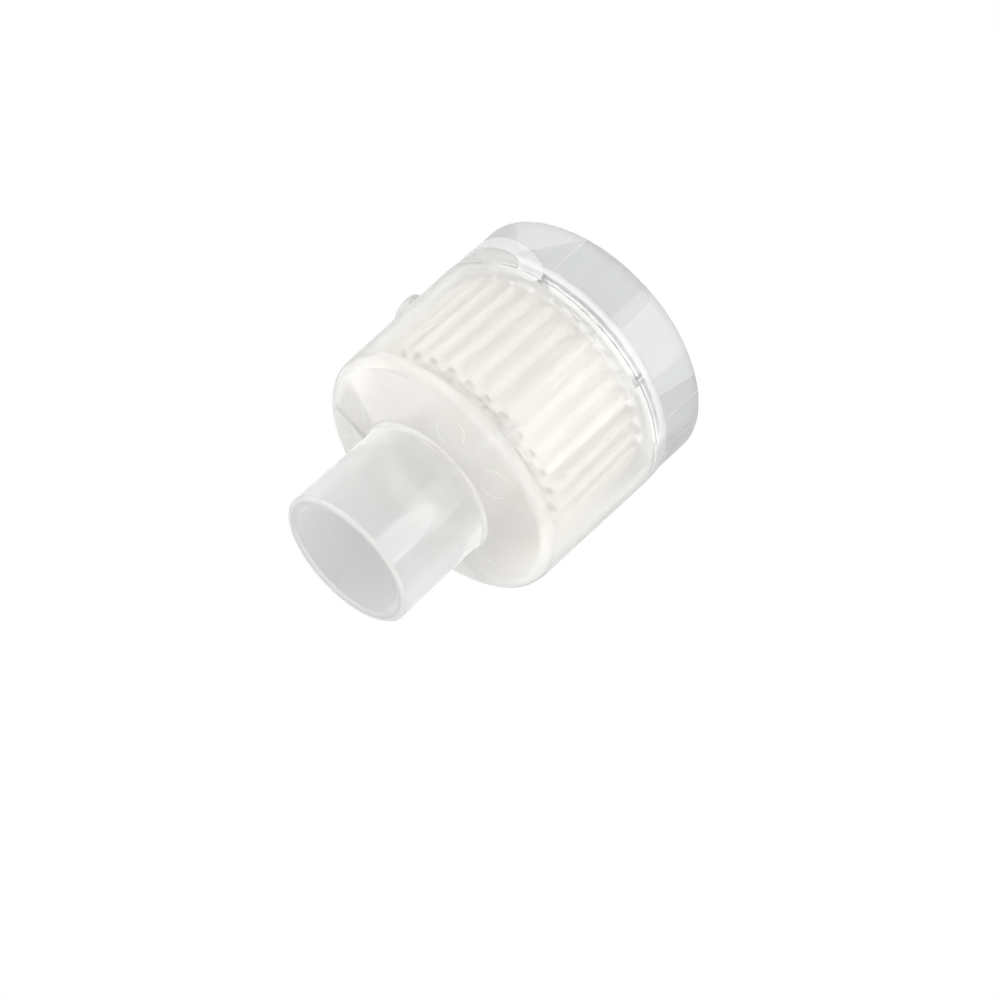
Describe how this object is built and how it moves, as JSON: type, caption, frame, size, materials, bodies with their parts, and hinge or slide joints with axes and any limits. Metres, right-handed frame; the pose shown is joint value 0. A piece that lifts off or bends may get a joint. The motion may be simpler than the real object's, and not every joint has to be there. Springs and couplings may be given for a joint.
{
  "type": "tracheostomy filter",
  "caption": "Clear cylindrical breathing filter with a conical connector socket on one end, an open skirt on the other and a wound corrugated paper roll inside.",
  "frame": {"origin": "centre of the skirt's rim, on the plane that the part stands on", "axes": "+Z along the axis, from the skirt's rim towards the mouth of the socket; the side stub lies towards +X"},
  "size_m": [0.0365, 0.0352, 0.0437],
  "materials": {
    "clear_plastic": "clear, glossy moulded plastic",
    "milky_plastic": "clear, slightly milky moulded plastic",
    "paper": "off-white corrugated paper"
  },
  "bodies": {
    "root": {"housing": "clear_plastic", "end_cap": "milky_plastic", "paper_roll": "paper"}
  },
  "joints": []
}
